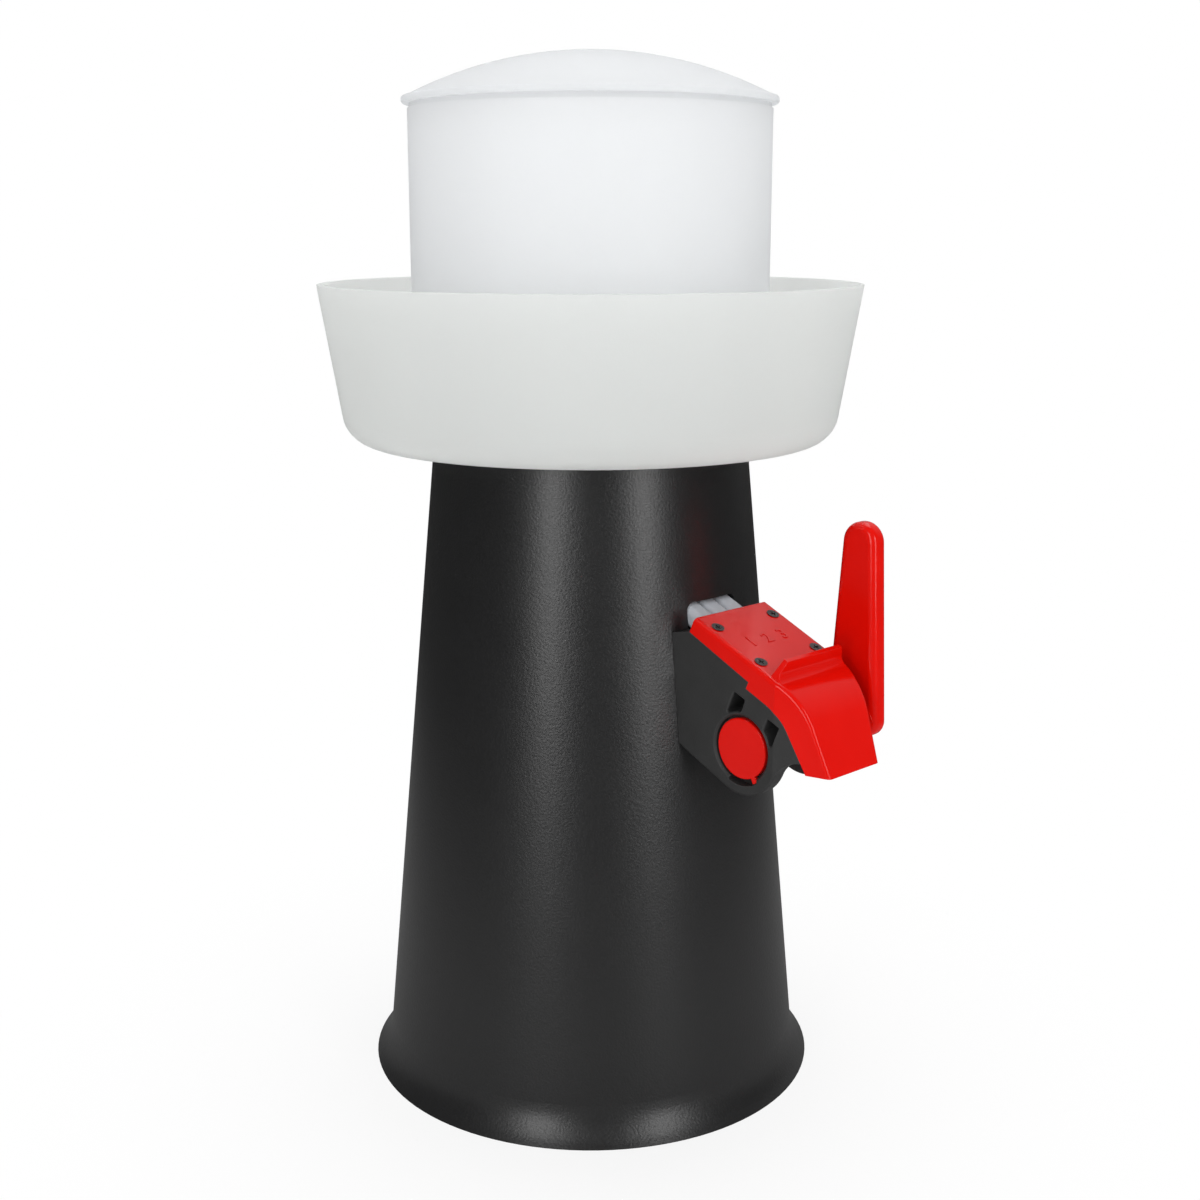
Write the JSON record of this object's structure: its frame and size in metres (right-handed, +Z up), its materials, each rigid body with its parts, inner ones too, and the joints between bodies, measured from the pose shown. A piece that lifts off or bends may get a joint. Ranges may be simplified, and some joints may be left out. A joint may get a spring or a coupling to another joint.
{
  "type": "liquor dispenser",
  "caption": "Table-top drink tower: flared column, open bowl round a lidded tank with chambers, and a lever-worked pinch tap that squeezes the outlet hoses side by side.",
  "frame": {"origin": "centre of the base, on the face it stands on", "axes": "+Z up along the column's axis, -Y out of the column towards the tap, lever on the +X side"},
  "size_m": [0.2422, 0.2773, 0.4654],
  "materials": {
    "column": "fine grained black",
    "frosted_bowl": "frosted translucent",
    "frosted_tank": "frosted translucent",
    "frosted_lid": "frosted translucent",
    "red": "glossy moulded",
    "tap_black": "matte moulded",
    "silicone": "translucent grey silicone",
    "black_steel": "black oxide",
    "steel": "plain steel",
    "black_rubber": "matte rubber"
  },
  "bodies": {
    "stand": {"column_shell": "column", "foot_pad": "black_rubber", "base_cover": "column", "base_screws": "steel", "bowl": "frosted_bowl", "tank_gasket": "black_rubber", "tank_shell": "frosted_tank", "tank_nut": "tap_black", "tank_divider": "frosted_tank", "outlet_1": "tap_black", "outlet_2": "tap_black", "outlet_3": "tap_black", "outlet_seals": "black_rubber", "outlet_nuts": "tap_black", "hose_clips": "steel", "hose_1": "silicone", "hose_2": "silicone", "hose_3": "silicone", "tap_body": "tap_black", "tap_cover": "red", "cover_screws": "black_steel", "tap_saddle": "steel", "tap_screws": "steel"},
    "lever": {"lever": "red", "cam_shaft": "red", "lever_screw": "black_steel"},
    "pinch_bar": {"pinch_bar": "tap_black"},
    "lid": {"lid": "frosted_lid"}
  },
  "joints": [
    {"name": "lever_turn", "type": "hinge", "parent": "stand", "child": "lever", "pos_m": [0, -0.11442, 0.18079], "axis": [1, 0, 0], "range_deg": [0, 50]},
    {"name": "bar_slide", "type": "slide", "parent": "stand", "child": "pinch_bar", "axis": [0, -0.3939, 0.9191], "range_m": [-0.00401, 0]},
    {"name": "lid_lift", "type": "slide", "parent": "stand", "child": "lid", "axis": [0, 0, 1], "range_m": [0, 0.1]}
  ],
  "couplings": [
    {"joint": "bar_slide", "follows": "lever_turn", "m_per_rad": -0.0045837}
  ]
}
